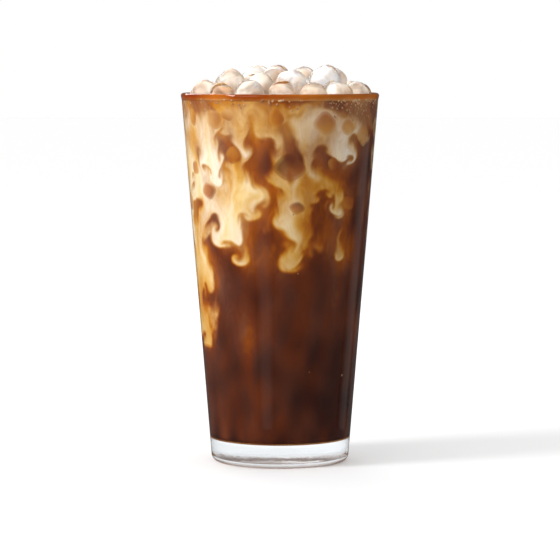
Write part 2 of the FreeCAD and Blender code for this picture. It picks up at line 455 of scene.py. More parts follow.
# ---- Shader tools ----
class Shader:
    """A node tree being put together, with short ways to add its nodes."""

    def __init__(self, tree):
        self.tree = tree
        tree.nodes.clear()

    def add(self, kind, inputs=None, **options):
        """A node with its options set and its inputs given as values or links."""
        node = self.tree.nodes.new(kind)
        for name, value in options.items():
            setattr(node, name, value)
        for socket, value in (inputs or {}).items():
            self.put(node.inputs[socket], value)
        return node

    def put(self, socket, value):
        """Links an input, or gives it a plain value."""
        if isinstance(value, bpy.types.NodeSocket):
            self.tree.links.new(value, socket)
        elif socket.type == "VECTOR":
            socket.default_value = value
        elif socket.type == "RGBA":
            socket.default_value = (*value, 1)[:4]
        else:
            socket.default_value = value

    def math(self, operation, *values, clamp=False):
        """One operation on up to three numbers."""
        node = self.add("ShaderNodeMath", dict(enumerate(values)), operation=operation, use_clamp=clamp)
        return node.outputs[0]

    def position(self):
        """The place on the piece, in metres."""
        return self.add("ShaderNodeTexCoord").outputs["Object"]

    def value(self, name):
        """A number kept on the mesh."""
        return self.add("ShaderNodeAttribute", attribute_name=name, attribute_type="GEOMETRY").outputs["Fac"]

    def noise(self, vector, scale, detail=3.0, stretch=(1, 1, 1), distortion=0.0):
        """Random unevenness from 0 to 1, of that many waves a metre."""
        mapping = self.add("ShaderNodeMapping", {"Vector": vector, "Scale": stretch})
        inputs = {"Vector": mapping.outputs[0], "Scale": scale, "Detail": detail, "Distortion": distortion}
        return self.add("ShaderNodeTexNoise", inputs).outputs["Fac"]

    def span(self, value, low, high, to_low=0.0, to_high=1.0):
        """A value stretched from one range to another, and held inside it."""
        inputs = {"Value": value, "From Min": low, "From Max": high, "To Min": to_low, "To Max": to_high}
        return self.add("ShaderNodeMapRange", inputs).outputs[0]

    def ramp(self, value, stops):
        """A colour ramp, from (place, colour) of each stop."""
        node = self.add("ShaderNodeValToRGB", {"Fac": value})
        elements = node.color_ramp.elements
        while len(elements) < len(stops):
            elements.new(1.0)
        for element, (place, stop) in zip(elements, stops):
            element.position = place
            element.color = (*stop, 1)
        return node.outputs["Color"]

    def blend(self, factor, first, second):
        """From one colour to another."""
        node = self.add("ShaderNodeMix", data_type="RGBA")
        factor_socket, *_ = (socket for socket in node.inputs if socket.enabled)
        colours = [socket for socket in node.inputs if socket.type == "RGBA"]
        for socket, value in zip((factor_socket, *colours), (factor, first, second)):
            self.put(socket, value)
        return next(socket for socket in node.outputs if socket.type == "RGBA")

    def bump(self, height, strength, distance):
        """The normal of a surface with that relief."""
        inputs = {"Height": height, "Strength": strength, "Distance": distance}
        return self.add("ShaderNodeBump", inputs).outputs[0]

    def surface(self, inputs):
        """The surface itself, from its inputs by name."""
        return self.add("ShaderNodeBsdfPrincipled", inputs).outputs[0]


def material(build, *arguments, name=None):
    """A material whose surface is what the build function returns, and which has its name if none is given."""
    made = bpy.data.materials.new(name or build.__name__)
    made.use_nodes = True
    shader = Shader(made.node_tree)
    output = shader.add("ShaderNodeOutputMaterial")
    made.node_tree.links.new(build(shader, *arguments), output.inputs["Surface"])
    return made


def lets_lamps_through(shader, glass):
    """The glass for the eye, and nothing but its tint for a lamp's light."""
    path = shader.add("ShaderNodeLightPath")
    clear = shader.add("ShaderNodeBsdfTransparent", {"Color": (0.96, 0.97, 0.98)})
    inputs = {0: path.outputs["Is Shadow Ray"], 1: glass, 2: clear.outputs[0]}
    return shader.add("ShaderNodeMixShader", inputs).outputs[0]


def see_through(shader, tint, roughness, normal, ior=GLASS_IOR):
    """Glass or ice with that finish."""
    inputs = {"Base Color": tint, "Roughness": roughness, "Normal": normal, "IOR": ior, "Transmission Weight": 1.0}
    return lets_lamps_through(shader, shader.surface(inputs))


def clear_glass(shader, glass):
    """The side of the tumbler, with the slight waves of pressed glass."""
    waves = shader.bump(shader.noise(shader.position(), 60, 1, (1, 1, 0.2)), 0.04, 0.0004)
    return see_through(shader, glass.tint, 0.0, waves)


def foot_glass(shader, glass):
    """The side of the thick foot, where the glass shows its own grey."""
    waves = shader.bump(shader.noise(shader.position(), 150, 2, (1, 1, 0.7)), 0.22, 0.0006)
    return see_through(shader, glass.foot_tint, 0.03, waves)


def frosted_foot(shader, glass):
    """The underside of the foot, which a press leaves rough."""
    grain = shader.bump(shader.noise(shader.position(), 1200, 2), 0.2, 0.0002)
    return see_through(shader, glass.tint, 0.5, grain)


def coffee_group():
    """The colour of coffee by its share of cream, clear and warm or cloudy and pale.  Built once."""
    group = bpy.data.node_groups.get("Coffee and cream")
    if group:
        return group
    drink = settings().drink
    group = bpy.data.node_groups.new("Coffee and cream", "ShaderNodeTree")
    for name in ("Cream", "Warmth"):
        group.interface.new_socket(name, in_out="INPUT", socket_type="NodeSocketFloat")
    group.interface.new_socket("Color", in_out="OUTPUT", socket_type="NodeSocketColor")
    shader = Shader(group)
    given = shader.add("NodeGroupInput").outputs
    warm = (drink.coffee, drink.russet, drink.amber, drink.gold, drink.straw, drink.yellow)
    cool = (drink.murk, drink.umber, drink.tan, drink.fawn, drink.beige, drink.white)
    places = (0.0, 0.12, 0.28, 0.45, 0.65, 1.0)
    warm = shader.ramp(given["Cream"], list(zip(places, warm)))
    cool = shader.ramp(given["Cream"], list(zip(places, cool)))
    shader.add("NodeGroupOutput", {"Color": shader.blend(given["Warmth"], cool, warm)})
    return group


def coffee_tone(shader, cream, warmth):
    """The colour at that share of cream and that warmth."""
    node = shader.add("ShaderNodeGroup", node_tree=coffee_group())
    shader.put(node.inputs["Cream"], cream)
    shader.put(node.inputs["Warmth"], warmth)
    return node.outputs["Color"]


def marbled_coffee(shader):
    """Coffee behind the wall of the glass, marbled with cream."""
    where = shader.position()
    cream = shader.value("cream")
    wisps = shader.span(shader.noise(where, 240, 4, (1, 1, 0.55), 1.6), 0.3, 0.7, -0.07, 0.07)
    wisps = shader.math("MULTIPLY", wisps, shader.math("MULTIPLY", cream, 2.0, clamp=True))
    total = shader.math("ADD", cream, wisps, clamp=True)
    drift = shader.span(shader.noise(where, 110, 3, (1, 1, 0.5), 1.2), 0.3, 0.7, -0.2, 0.2)
    warmth = shader.math("ADD", shader.value("warmth"), drift, clamp=True)
    inputs = {"Base Color": coffee_tone(shader, total, warmth), "Roughness": 0.6, "Specular IOR Level": 0.0}
    return shader.surface(inputs)


def coffee_surface(shader):
    """The open surface of the drink, between the nuggets."""
    where = shader.position()
    swirl = shader.span(shader.noise(where, 90, 5, distortion=1.6), 0.35, 0.7, 0.28, 0.9)
    warmth = shader.span(shader.noise(where, 50, 3, distortion=1.0), 0.35, 0.65)
    shine = shader.bump(shader.noise(where, 160, 2), 0.15, 0.0006)
    inputs = {"Base Color": coffee_tone(shader, swirl, warmth), "Roughness": 0.08, "Normal": shine, "IOR": 1.34}
    return shader.surface(inputs)


def coffee_floor(shader):
    """The bottom of the drink, painted paler to stand in for the light that comes up through the clear foot."""
    where = shader.position()
    # painted light: more cream than the drink has, for the glow through the foot
    glow = shader.span(shader.noise(where, 60, 3, distortion=0.5), 0.3, 0.7, 0.25, 0.5)
    return shader.surface({"Base Color": coffee_tone(shader, glow, 0.35), "Roughness": 0.6, "Specular IOR Level": 0.0})


def sunk_ice(shader):
    """Ice against the wall: a smooth window into the coffee behind it, with painted shade that makes one side lighter
    and the other darker, and that fades at its edge.
    """
    where = shader.position()
    haze = shader.span(shader.noise(where, 90, 3), 0.3, 0.7, -0.08, 0.08)
    # painted shade: the stored gradient lifts or lowers the cream share across each window
    lit = shader.math("MULTIPLY_ADD", shader.value("shade"), 0.16, shader.value("tone"))
    window = coffee_tone(shader, shader.math("ADD", lit, haze, clamp=True), shader.value("own_warmth"))
    around = coffee_tone(shader, shader.value("cream"), shader.value("warmth"))
    fade = shader.span(shader.value("edge"), 0.5, 0.98, 0.15, 1.0)
    inputs = {"Base Color": shader.blend(fade, window, around), "Roughness": 0.5, "Specular IOR Level": 0.05}
    return shader.surface(inputs)


def clear_ice(shader, ice):
    """The wet shell of a nugget."""
    where = shader.position()
    pits = shader.bump(shader.noise(where, 200, 2, distortion=0.4), 0.2, 0.0006)
    film = shader.span(shader.noise(where, 160, 2), 0.3, 0.8, 0.08, 0.2)
    return see_through(shader, ice.clear, film, pits, ICE_IOR)


def cloudy_ice(shader, ice):
    """The core of a nugget, full of fine bubbles."""
    where = shader.position()
    mottle = shader.span(shader.noise(where, 75, 3, distortion=0.5), 0.35, 0.7, -0.25, 0.5)
    stain = shader.math("ADD", shader.value("tone"), mottle, clamp=True)
    holes = shader.span(shader.noise(where, 120, 2, distortion=0.6), 0.36, 0.6, 0.3, 0.95)
    inputs = {
        "Base Color": shader.ramp(stain, [(0.0, ice.frosty), (0.3, ice.cloud), (1.0, ice.stained)]),
        "Roughness": 0.6,
        "Alpha": holes,
        "Normal": shader.bump(shader.noise(where, 300, 2), 0.15, 0.001),
        "Subsurface Weight": 0.6,
        "Subsurface Radius": (1.0, 0.9, 0.8),
        "Subsurface Scale": 0.004,
    }
    return shader.surface(inputs)


def bubble(shader):
    """A bubble with milky coffee behind it."""
    pale = shader.span(shader.noise(shader.position(), 300, 2), 0.35, 0.65)
    inputs = {"Base Color": shader.blend(pale, tone(150, 98, 58), tone(210, 172, 124)), "Roughness": 0.35}
    return shader.surface(inputs)


def amber_film(shader):
    """The edge where the drink thins out against the wall, golden brown at the top and tan lower down."""
    where = shader.position()
    drift = shader.span(shader.noise(where, 26, 2, (1, 1, 0.1)), 0.38, 0.62)
    edge = shader.blend(drift, tone(146, 56, 4), tone(192, 106, 30))
    low = shader.blend(drift, tone(150, 84, 30), tone(186, 128, 72))
    height = shader.math("ADD", shader.value("rise"), shader.span(shader.noise(where, 140, 3), 0.3, 0.7, -0.2, 0.2))
    film = shader.blend(shader.span(height, 0.25, 0.7), low, edge)
    return shader.surface({"Base Color": film, "Roughness": 0.6, "Specular IOR Level": 0.0})


# ---- Where the sunk nuggets and the cream lie ----
# Heights, widths and radii are shares of the drink's depth.
# angle from the front in degrees, height and radius
FRONT_NUGGETS = (
    (6, 0.805, 0.050),
    (-64, 0.945, 0.028),
    (-43, 0.940, 0.037),
    (-33, 0.955, 0.022),
    (28, 0.930, 0.041),
    (45, 0.920, 0.029),
    (61, 0.895, 0.034),
    (-2, 0.945, 0.026),
    (-30, 0.840, 0.028),
    (-52, 0.735, 0.030),
    (11, 0.690, 0.026),
    (35, 0.815, 0.024),
    (-66, 0.800, 0.026),
    (50, 0.700, 0.030),
)
# angle from the front in degrees, height, half width, half depth, strength, warmth
FRONT_POURS = (
    (-86, 0.84, 0.06, 0.14, 0.95, 0.75),
    (-84, 0.62, 0.06, 0.12, 0.95, 0.90),
    (-70, 0.86, 0.08, 0.12, 1.2, 0.40),
    (-60, 0.74, 0.09, 0.11, 1.2, 0.10),
    (-46, 0.90, 0.10, 0.08, 1.2, 0.15),
    (-43, 0.70, 0.09, 0.09, 1.2, 0.15),
    (-25, 0.75, 0.06, 0.13, 1.0, 0.90),
    (-66, 0.54, 0.05, 0.14, 0.85, 1.0),
    (-76, 0.42, 0.06, 0.15, 0.8, 1.0),
    (-58, 0.42, 0.03, 0.08, 0.6, 1.0),
    (-24, 0.95, 0.12, 0.06, 0.75, 0.55),
    (0, 0.93, 0.12, 0.07, 0.85, 0.45),
    (20, 0.88, 0.08, 0.11, 1.2, 0.0),
    (36, 0.89, 0.08, 0.09, 1.1, 0.05),
    (56, 0.90, 0.08, 0.06, 0.75, 0.15),
    (4, 0.75, 0.045, 0.12, 0.85, 1.0),
    (18, 0.73, 0.07, 0.13, 1.0, 0.95),
    (13, 0.66, 0.06, 0.11, 1.1, 1.0),
    (25, 0.61, 0.03, 0.06, 0.8, 0.7),
    (-12, 0.70, 0.009, 0.12, 0.9, 0.9),
    (-8, 0.60, 0.02, 0.08, 0.9, 1.0),
    (-30, 0.56, 0.02, 0.06, 0.6, 1.0),
    (46, 0.57, 0.025, 0.06, 0.6, 1.0),
    (38, 0.72, 0.04, 0.08, 0.5, 0.7),
)
FRONT_HALF = 0.21  # turns to each side of the front in which the nuggets are placed one by one
BACK_NUGGET_ROWS = (0.95, 0.86, 0.77, 0.68, 0.59)
BACK_NUGGETS = 24  # places in a row, all the way round
NUGGET_CLEARANCE = (0.04, 0.06)  # from other nuggets, in turns and in height
BACK_POURS = 15
BACK_START, BACK_REACH = 0.255, 0.49  # where they start and how far round they go, in turns
# the least and the most height, half width, half depth, strength and warmth of a pour round the back
UPPER_BACK_POUR = (0.80, 0.05, 0.06, 0.7, 0.0), (0.92, 0.09, 0.12, 1.0, 0.5)
LOWER_BACK_POUR = (0.55, 0.02, 0.06, 0.5, 0.6), (0.75, 0.05, 0.14, 0.9, 1.0)
# angle from the front in degrees, height, half width, half depth
FRONT_GAPS = (
    (-31, 0.86, 0.026, 0.026),
    (-12, 0.84, 0.012, 0.070),
    (-8, 0.72, 0.018, 0.110),
    (33, 0.82, 0.034, 0.025),
    (10, 0.84, 0.030, 0.035),
    (-48, 0.64, 0.026, 0.028),
    (-20, 0.61, 0.028, 0.020),
    (-66, 0.66, 0.018, 0.030),
    (27, 0.62, 0.018, 0.040),
)


def turns(places):
    """The same places with their angles in turns."""
    return [(place[0] / 360, *place[1:]) for place in places]


def turns_between(a, b):
    """How far one angle lies from another the shorter way round, in turns."""
    return abs((a - b + 0.5) % 1 - 0.5)


def sunk_places(rng):
    """The nuggets at the front, and rows of others round the rest of the glass."""
    places = turns(FRONT_NUGGETS)
    beside, above = NUGGET_CLEARANCE
    for row, height in enumerate(BACK_NUGGET_ROWS):
        for k in range(BACK_NUGGETS):
            angle = (k + 0.5 * (row % 2) + rng.uniform(-0.35, 0.35)) / BACK_NUGGETS
            angle = (angle + 0.5) % 1 - 0.5
            if abs(angle) < FRONT_HALF:
                continue
            if all(turns_between(angle, a) > beside or abs(height - z) > above for a, z, _ in places):
                places.append((angle, height + rng.uniform(-0.035, 0.035), rng.uniform(0.018, 0.042)))
    return places


def all_pours(rng):
    """The cream at the front, and more of it round the rest of the glass."""
    pours = turns(FRONT_POURS)
    for k in range(BACK_POURS):
        angle = BACK_START + k / (BACK_POURS - 1) * BACK_REACH
        for low, high in (UPPER_BACK_POUR, LOWER_BACK_POUR):
            shift = rng.uniform(-0.014, 0.014)
            pours.append((angle + shift, *(rng.uniform(a, b) for a, b in zip(low, high))))
    return pours


class Marbling:
    """The cream on the wall once it has sunk, for points on or near the wall.

    Heights are shares of the drink's depth.
    """

    TOP_FROM, TOP_OVER = 0.80, 0.14  # where the cream starts to thin out, and the height over which it does
    TOP_THINNED = 0.42  # share of the cream that has left the surface
    TOP_HAZE = 0.16  # thin cream that is spread evenly there
    DEEP_HAZE = 0.30  # how well cream further in shows
    DEEP_SHIFT = 9  # columns by which it lies to the side
    TRACE, HIGH_TRACE = 0.035, 0.10  # cream that has mixed in everywhere, and more of it higher up
    WARMER = 0.1

    def __init__(self):
        glass, drink = settings().glass, settings().drink
        self.bottom = glass.floor
        self.depth = drink_level() - glass.floor
        girth = 2 * math.pi * Tumbler(glass).inside(self.bottom + self.depth / 2) / self.depth
        flow = self.flow = CreamFlow(girth, drink.seed)
        rng = random.Random(drink.seed)
        self.nuggets = sunk_places(rng)
        cream, warmth = flow.run(all_pours(rng), turns(FRONT_GAPS), self.nuggets, drink.sinking)
        top = np.clip((flow.z - self.TOP_FROM) / self.TOP_OVER, 0, 1)
        upper = np.clip((flow.z - 0.5) / 0.2, 0, 1)
        # cream further in shows as a paler haze beside the cream on the wall
        behind = np.roll(flow.blurred(cream, 0.014, 0.03), self.DEEP_SHIFT, 1)
        haze = self.DEEP_HAZE * behind * (1 - 0.5 * top) + self.TOP_HAZE * top
        cream = 1 - (1 - cream * (1 - self.TOP_THINNED * top)) * (1 - haze)
        murk = (0.03 + 0.03 * upper) * flow.cloud(0.02, 0.03, 9) + 0.06 * upper * (warmth - 0.4)
        self.cream = cream + self.TRACE + self.HIGH_TRACE * np.clip(flow.z / 0.6, 0, 1) ** 1.5 + murk
        self.warmth = warmth + self.WARMER

    def at(self, points):
        """The share of cream and the warmth at each point, both from 0 to 1."""
        points = np.asarray(points)
        turn = (np.arctan2(points[:, 1], points[:, 0]) - FRONT) / (2 * math.pi)
        columns = (turn % 1) * self.flow.COLUMNS - 0.5
        rows = (points[:, 2] - self.bottom) / self.depth * self.flow.ROWS - 0.5
        rows = np.clip(rows, 0, self.flow.ROWS - 1)
        return [np.clip(self.flow.at(field, columns, rows), 0, 1) for field in (self.cream, self.warmth)]


@functools.cache
def marbling():
    """The marbling, worked out once."""
    return Marbling()


# ---- Pieces ----
class COFFEE_OT_glass(bpy.types.Operator):
    """Makes the clear tumbler"""

    bl_idname = "iced_coffee.glass"
    bl_label = "Glass"
    COLUMNS = 192
    FOOT_ROWS = 27  # of the outline, up to about the level of the inner floor
    SIDE, UNDERSIDE, FOOT = range(3)  # its materials

    def execute(self, context):
        glass = settings().glass
        outline = Tumbler(glass).outline()
        points = turned(outline, self.COLUMNS)
        for k, p in enumerate(points):
            # the wall of a pressed glass is never quite even
            uneven = noise.noise(Vector((p[0] * 60, p[1] * 60, p[2] * 25)))
            points[k, :2] *= 1 + glass.ripple * uneven / max(math.hypot(p[0], p[1]), glass.wall)
        points = np.vstack([points, [(0, 0, glass.punt), (0, 0, glass.floor)]])
        faces = lathe_faces(len(outline), self.COLUMNS)
        skins = [self.skin(points[list(f)].mean(axis=0), max(f), glass) for f in faces]
        materials = [material(build, glass) for build in (clear_glass, frosted_foot, foot_glass)]
        obj = mesh_object("glass_tumbler", points, faces, materials, skins)
        finish_piece(obj, ["glass"])
        return {"FINISHED"}

    def skin(self, middle, last, glass):
        """The material of a face, from its middle and its last point."""
        low = middle[2] < glass.heel * 0.6 or math.hypot(*middle[:2]) < glass.foot_radius - glass.heel
        if low and middle[2] < glass.floor / 2:
            return self.UNDERSIDE
        return self.FOOT if last < self.FOOT_ROWS * self.COLUMNS else self.SIDE


class COFFEE_OT_drink(bpy.types.Operator):
    """Makes the coffee with its marbling of sunk cream"""

    bl_idname = "iced_coffee.drink"
    bl_label = "Coffee"
    COLUMNS = 384
    FINE_ROWS = 178  # where cream has sunk
    COARSE_ROWS = 30  # below that
    FINE_SHARE = 0.6
    LIT_ROWS = 5  # of the round at the bottom, which get the same painted light from the foot as the floor does
    WALL, OPEN_TOP, FLOOR = range(3)  # its materials

    def execute(self, context):
        glass, drink = settings().glass, settings().drink
        tumbler = Tumbler(glass)
        level = drink_level()
        low = glass.floor - drink.lap
        corner = tumbler.corner(low, glass.corner, lambda z: tumbler.inside(z) + drink.lap)
        bottom, top = corner[-1][1], level + drink.meniscus
        change = top - self.FINE_SHARE * (top - bottom)
        coarse = np.linspace(bottom, change, self.COARSE_ROWS, endpoint=False)
        wall_z = np.concatenate([coarse, np.linspace(change, top, self.FINE_ROWS)])
        wall = [(tumbler.inside(z) + drink.lap, z) for z in wall_z]
        edge = wall[-1][0] - drink.lap
        m = drink.meniscus
        rise = [(edge - m * (1 - math.sin(a)), level + m * (1 - math.cos(a))) for a in np.linspace(math.pi / 2, 0, 7)]
        floor = [(corner[0][0] * s, low) for s in np.linspace(0.04, 0.97, 16)]
        open_top = [(rise[-1][0] * s, level) for s in np.linspace(0.98, 0.04, 20)]
        outline = floor + corner + wall[1:] + rise + open_top
        points = turned(outline, self.COLUMNS)
        points = np.vstack([points, [(0, 0, low), (0, 0, level)]])
        faces = lathe_faces(len(outline), self.COLUMNS)
        first_open = (len(floor) + len(corner) + len(wall) - 1) * self.COLUMNS
        last_low = (len(floor) + self.LIT_ROWS) * self.COLUMNS
        middle_low = len(outline) * self.COLUMNS
        skins = []
        for f in faces:
            if middle_low in f or max(f) < last_low:
                skins.append(self.FLOOR)
            elif min(f) >= first_open - self.COLUMNS and max(f) >= first_open:
                skins.append(self.OPEN_TOP)
            else:
                skins.append(self.WALL)
        materials = [material(build) for build in (marbled_coffee, coffee_surface, coffee_floor)]
        obj = mesh_object("coffee_drink", points, faces, materials, skins)
        cream, warmth = marbling().at(points)
        store(obj, cream=cream, warmth=warmth)
        finish_piece(obj, ["coffee"])
        return {"FINISHED"}


class COFFEE_OT_sunk_ice(bpy.types.Operator):
    """Makes the sunk nuggets that lie against the wall"""

    bl_idname = "iced_coffee.sunk_ice"
    bl_label = "Sunk ice"
    ROUND = 40
    RINGS = 9
    BACK = 4.0 * MM  # how far a nugget reaches back into the drink
    PROUD = 0.2 * MM  # how far it stands out of the drink's skin
    LARGE = 0.045  # radius over which a nugget counts as large, as a share of the drink's depth

    def execute(self, context):
        glass, drink, ice = settings().glass, settings().drink, settings().ice
        tumbler = Tumbler(glass)
        depth, rows = marbling().depth, 2 * self.RINGS - 1
        points, faces, tones, warmths, shades, edges = [], [], [], [], [], []
        for turn, height, radius in marbling().nuggets:
            own = random.Random(int(1e6 * (turn + height)) + ice.seed)
            wide, tall = radius * depth * own.uniform(0.85, 1.2), radius * depth * own.uniform(0.85, 1.2)
            tilt, lobes = own.uniform(0, math.pi), own.uniform(0, math.pi)
            pale, way = own.uniform(0.26, 0.48), own.uniform(0, 2 * math.pi)
            warmth = own.uniform(0.45, 1.0)
            contrast = 1.0
            if radius > self.LARGE:
                # the largest gets stronger painted shade: darker coffee at its upper left and lighter amber at its
                # lower right
                pale, way, contrast = 0.17, -0.7, 1.5
            first = len(points)
            for ring in range(rows):
                # from the middle of the side on the glass, out over the edge and back to the middle behind
                s = (ring + 0.5) / rows * math.pi
                out = math.sin(s) ** 0.8
                into = (1 - math.cos(s)) / 2
                for k in range(self.ROUND):
                    a = 2 * math.pi * k / self.ROUND
                    wobble = 1 + 0.06 * math.cos(2 * a + lobes) + 0.035 * math.cos(3 * a - 2 * lobes)
                    square = (abs(math.cos(a - tilt)) ** 3 + abs(math.sin(a - tilt)) ** 3) ** (-1 / 3)
                    x = wide * out * wobble * square * math.cos(a)
                    z = glass.floor + depth * height + tall * out * wobble * square * math.sin(a)
                    r = tumbler.inside(z) + drink.lap + self.PROUD - self.BACK * into**1.6
                    angle = FRONT + 2 * math.pi * turn + x / r
                    points.append((r * math.cos(angle), r * math.sin(angle), z))
                    tones.append(pale)
                    warmths.append(warmth)
                    # painted shade: a gradient across the face of the nugget, lighter on the side that way points to
                    # and darker opposite
                    shades.append(contrast * out * math.cos(a - way))
                    edges.append(out if into < 0.5 else 1)
            faces += closed_faces(rows, self.ROUND, first)
        obj = mesh_object("sunk_ice", points, faces, [material(sunk_ice)])
        cream, warmth = marbling().at(points)
        store(obj, cream=cream, warmth=warmth, tone=tones, own_warmth=warmths, shade=shades, edge=edges)
        finish_piece(obj)
        return {"FINISHED"}


MELT_WAVES, MELT_GRAIN = 120, 600  # waves a metre of the wear, wide and fine


def melted(node, grain, swell, depth, seed):
    """Points and faces of a nugget of the frame, swollen by that factor and worn uneven to that depth."""
    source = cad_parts[node]
    lump = bpy.data.objects.new("lump", source.data.copy())
    bpy.context.scene.collection.objects.link(lump)
    remesh = lump.modifiers.new("even", "REMESH")
    remesh.mode = "VOXEL"
    remesh.voxel_size = grain
    smooth = lump.modifiers.new("soft", "SMOOTH")
    smooth.iterations = 4
    shape = lump.evaluated_get(bpy.context.evaluated_depsgraph_get()).to_mesh()
    points = np.array([v.co for v in shape.vertices])
    normals = np.array([v.normal for v in shape.vertices])
    faces = [tuple(p.vertices) for p in shape.polygons]
    shift = Vector((seed * 7.3, seed * 3.1, seed * 1.7))
    middle = points.mean(axis=0)
    for k, (p, n) in enumerate(zip(points, normals)):
        wide = noise.noise(Vector(p) * MELT_WAVES + shift)
        fine = noise.noise(Vector(p) * MELT_GRAIN + shift)
        points[k] = middle + swell * (p - middle) + n * depth * (0.9 * wide + 0.12 * fine)
    lump.to_mesh_clear()
    mesh = lump.data
    bpy.data.objects.remove(lump)
    bpy.data.meshes.remove(mesh)
    return points, faces


class COFFEE_OT_bubbles(bpy.types.Operator):
    """Makes the small bubbles that cling to the wall"""

    bl_idname = "iced_coffee.bubbles"
    bl_label = "Bubbles"
    COUNT = 260
    SIZES = 0.22 * MM, 0.62 * MM  # radius of the least and the largest
    ROUND = 10
    RINGS = 5

    def execute(self, context):
        glass, drink = settings().glass, settings().drink
        tumbler = Tumbler(glass)
        rng = random.Random(drink.seed + 1)
        ways = ball_ways(self.RINGS, self.ROUND)
        points, faces = [], []
        for number in range(self.COUNT):
            # most crowd at the level on the right, some go all the way round, and a few cling lower down
            if number < 0.45 * self.COUNT:
                turn, under = math.radians(rng.gauss(58, 16)), rng.expovariate(1 / (3.0 * MM))
            elif number < 0.93 * self.COUNT:
                turn, under = rng.uniform(-math.pi, math.pi), rng.expovariate(1 / (1.5 * MM))
            else:
                turn, under = rng.uniform(-math.pi, math.pi), rng.uniform(20 * MM, 140 * MM)
            z = max(drink_level() - 0.4 * MM - under, glass.floor + glass.corner)
            size = rng.uniform(*self.SIZES)
            out = tumbler.inside(z) + drink.lap
            middle = Vector((out * math.cos(FRONT + turn), out * math.sin(FRONT + turn), z))
            faces += closed_faces(self.RINGS, self.ROUND, len(points))
            points += [middle + size * way for way in ways]
        obj = mesh_object("bubbles", points, faces, [material(bubble)])
        finish_piece(obj)
        return {"FINISHED"}


class COFFEE_OT_top_ice(bpy.types.Operator):
    """Makes the nuggets that stand in the surface and lie heaped on each other"""

    bl_idname = "iced_coffee.top_ice"
    bl_label = "Heaped ice"
    SWELL = 1.05  # for the nuggets under the heap, so that they close up
    CHIP_MOST = 3.2 * MM  # half the size of the largest chip
    CHIP_TRIES = 1500
    CHIP_ROUND = 20
    CHIP_RINGS = 12

    def execute(self, context):
        ice = settings().ice
        shell, cloud = material(clear_ice, ice), material(cloudy_ice, ice)
        cores, core_sides, core_tones = [], [], []
        for group in ("ring", "bed", "heap"):
            nodes = [n for n in ICE_NODES if n.startswith(f"ice_{group}_")]
            if not nodes:
                raise RuntimeError(f"the frame has no nuggets in its {group}")
            points, faces = [], []
            for node in nodes:
                own = random.Random(ice.seed * 100 + ICE_NODES.index(node))
                swell = 1.0 if group == "heap" else self.SWELL
                shape, sides = melted(node, ice.grain, swell, ice.melt, own.uniform(0, 50))
                faces += [tuple(v + len(points) for v in side) for side in sides]
                points += list(shape)
                shape, sides = melted(node, 2 * ice.grain, 1.0, 1.3 * ice.melt, own.uniform(0, 50))
                middle = shape.mean(axis=0)
                core_sides += [tuple(v + len(cores) for v in side) for side in sides]
                cores += list(middle + ice.core * own.uniform(0.9, 1.1) * (shape - middle))
                core_tones += [own.uniform(-0.1, 0.7)] * len(shape)
            obj = mesh_object(f"ice_{group}", points, faces, [shell])
            finish_piece(obj, nodes)
        self.chips(ice, cloud)
        obj = mesh_object("ice_cores", cores, core_sides, [cloud])
        store(obj, tone=core_tones)
        finish_piece(obj)
        return {"FINISHED"}

    def chips(self, ice, cloud):
        """Small broken bits that float in the gaps between the nuggets."""
        level = drink_level()
        room = Tumbler(settings().glass).inside(level) - self.CHIP_MOST - 0.5 * MM
        taken = []
        for node in ICE_NODES:
            low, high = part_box(node)
            if low.z < level + 2 * MM:
                taken.append((*((low + high) / 2)[:2], (high.x - low.x + high.y - low.y) / 4))
        # nearer to a block than to a ball
        ways = ball_ways(self.CHIP_RINGS, self.CHIP_ROUND)
        ways = [way / sum(abs(c) ** 3.5 for c in way) ** (1 / 3.5) for way in ways]
        rng = random.Random(ice.seed)
        points, faces, tones = [], [], []
        for _ in range(self.CHIP_TRIES):
            out, turn = room * math.sqrt(rng.random()), rng.uniform(0, 2 * math.pi)
            size = rng.uniform(0.45, 1.0) * self.CHIP_MOST
            x, y = out * math.cos(turn), out * math.sin(turn)
            if any(math.hypot(x - u, y - v) < size + 0.72 * r for u, v, r in taken):
                continue
            taken.append((x, y, size))
            middle = Vector((x, y, level + rng.uniform(0.1, 0.5) * size))
            tilt = Matrix.Rotation(rng.uniform(0, math.pi), 3, "X") @ Matrix.Rotation(rng.uniform(0, math.pi), 3, "Z")
            pale, shift = rng.uniform(-0.1, 0.8), Vector((rng.uniform(0, 50), 0, 0))
            faces += closed_faces(self.CHIP_RINGS, self.CHIP_ROUND, len(points))
            tones += [pale] * len(ways)
            for way in ways:
                worn = 0.85 + 0.35 * noise.noise(way * 1.6 + shift)
                points.append(middle + tilt @ Vector((way.x, way.y * 0.8, way.z * 0.9)) * size * worn)
        obj = mesh_object("ice_chips", points, faces, [cloud])
        store(obj, tone=tones)
        finish_piece(obj)


class COFFEE_OT_edge(bpy.types.Operator):
    """Makes the amber edge of the drink against the glass"""

    bl_idname = "iced_coffee.edge"
    bl_label = "Amber edge"
    COLUMNS = 192

    def execute(self, context):
        glass, drink = settings().glass, settings().drink
        tumbler = Tumbler(glass)
        level = drink_level()
        top = level + drink.meniscus + 0.15 * MM
        heights = np.linspace(level - 0.9 * MM, top, 9)
        out = [(tumbler.inside(z) + drink.lap + 0.1 * MM, z) for z in heights]
        inner = [(tumbler.inside(z) - 0.15 * MM, z) for z in heights[::-1]]
        outline = out + inner
        points = turned(outline, self.COLUMNS)
        faces = grid_faces(len(outline), self.COLUMNS)
        last = (len(outline) - 1) * self.COLUMNS
        for i in range(self.COLUMNS):
            nxt = (i + 1) % self.COLUMNS
            faces.append((last + i, last + nxt, nxt, i))
        obj = mesh_object("amber_edge", points, faces, [material(amber_film)])
        store(obj, rise=(points[:, 2] - heights[0]) / (top - heights[0]))
        finish_piece(obj)
        return {"FINISHED"}


